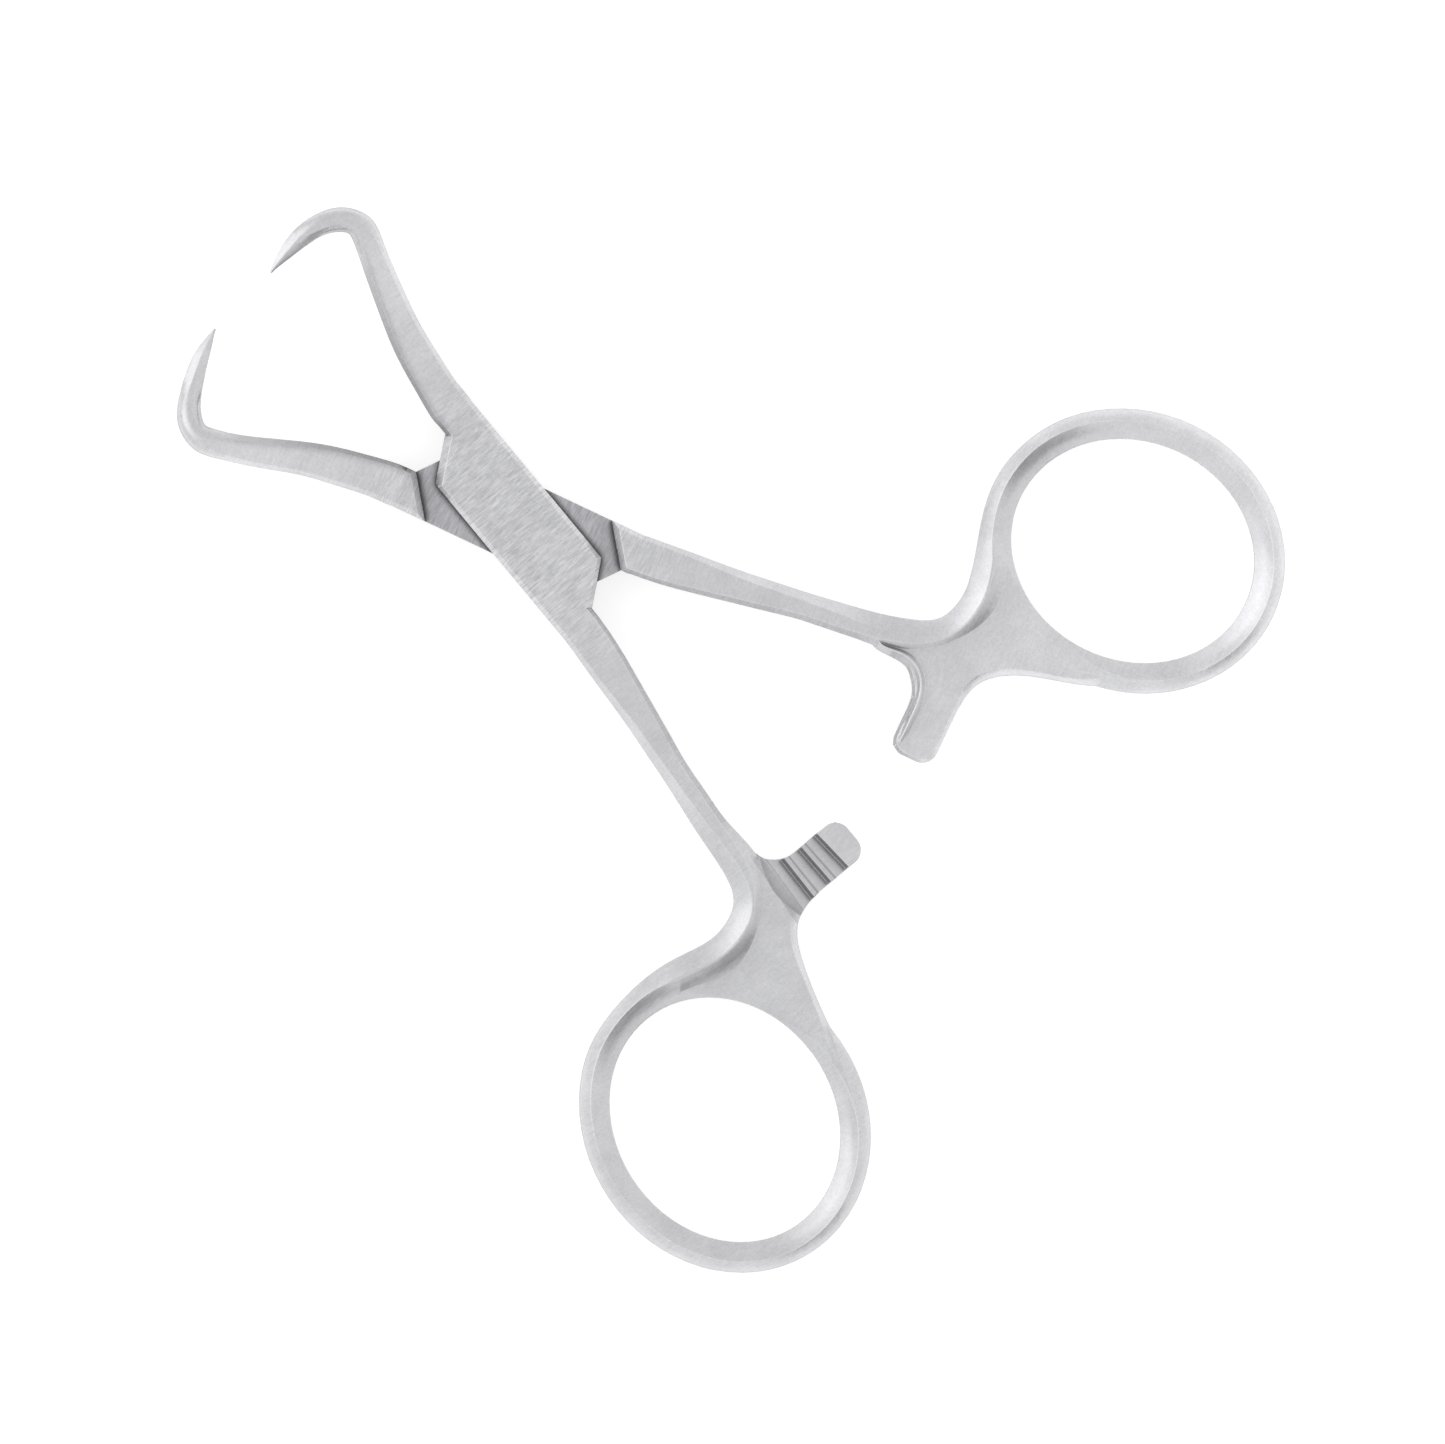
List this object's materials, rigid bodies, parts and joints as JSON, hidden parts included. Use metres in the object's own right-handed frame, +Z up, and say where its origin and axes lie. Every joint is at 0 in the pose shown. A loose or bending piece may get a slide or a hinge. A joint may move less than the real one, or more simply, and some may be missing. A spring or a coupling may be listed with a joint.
{
  "type": "towel forceps",
  "caption": "Small ring-handled towel forceps with a box-lock joint, curved pointed jaws that cross when closed, finger rings and a toothed ratchet catch.",
  "frame": {"origin": "on the pivot axis at the underside of the box lock", "axes": "+X towards the points along the bisector of the two halves, +Y towards the finger ring of the half whose cheeks show, +Z up along the pivot axis"},
  "size_m": [0.0855, 0.0802, 0.0044],
  "materials": {
    "satin_steel": "satin ground and glass-bead blasted",
    "pin_steel": "ground flush"
  },
  "bodies": {
    "female": {"female_half": "satin_steel", "pivot_pin": "pin_steel"},
    "male": {"male_half": "satin_steel"}
  },
  "joints": [
    {"name": "box_lock", "type": "hinge", "parent": "female", "child": "male", "pos_m": [0, 0, 0.0022], "axis": [0, 0, 1], "range_deg": [-21.3, 100]}
  ]
}
